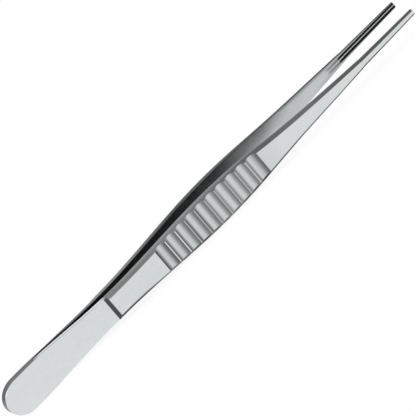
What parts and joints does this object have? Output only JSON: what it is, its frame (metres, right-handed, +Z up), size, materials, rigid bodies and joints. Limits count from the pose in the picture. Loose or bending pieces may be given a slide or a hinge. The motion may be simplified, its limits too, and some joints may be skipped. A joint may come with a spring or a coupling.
{
  "type": "thumb forceps",
  "caption": "Slender steel thumb forceps: leaf-spring arms welded flat at a rounded butt, concave fluted grips, tapered shanks and straight narrow jaws with fine interlocking tooth rows.",
  "frame": {"origin": "middle of the underside of the bounding box, on the table that the forceps lie on", "axes": "+X from the butt to the tips, +Y across the opening from the front arm to the back arm, +Z up over the width of the arms"},
  "size_m": [0.15, 0.0136, 0.0102],
  "materials": {
    "satin_steel": "satin stainless steel, polished flats, finely ground along the arms"
  },
  "bodies": {
    "root": {"front_arm": "satin_steel", "back_arm": "satin_steel"}
  },
  "joints": []
}
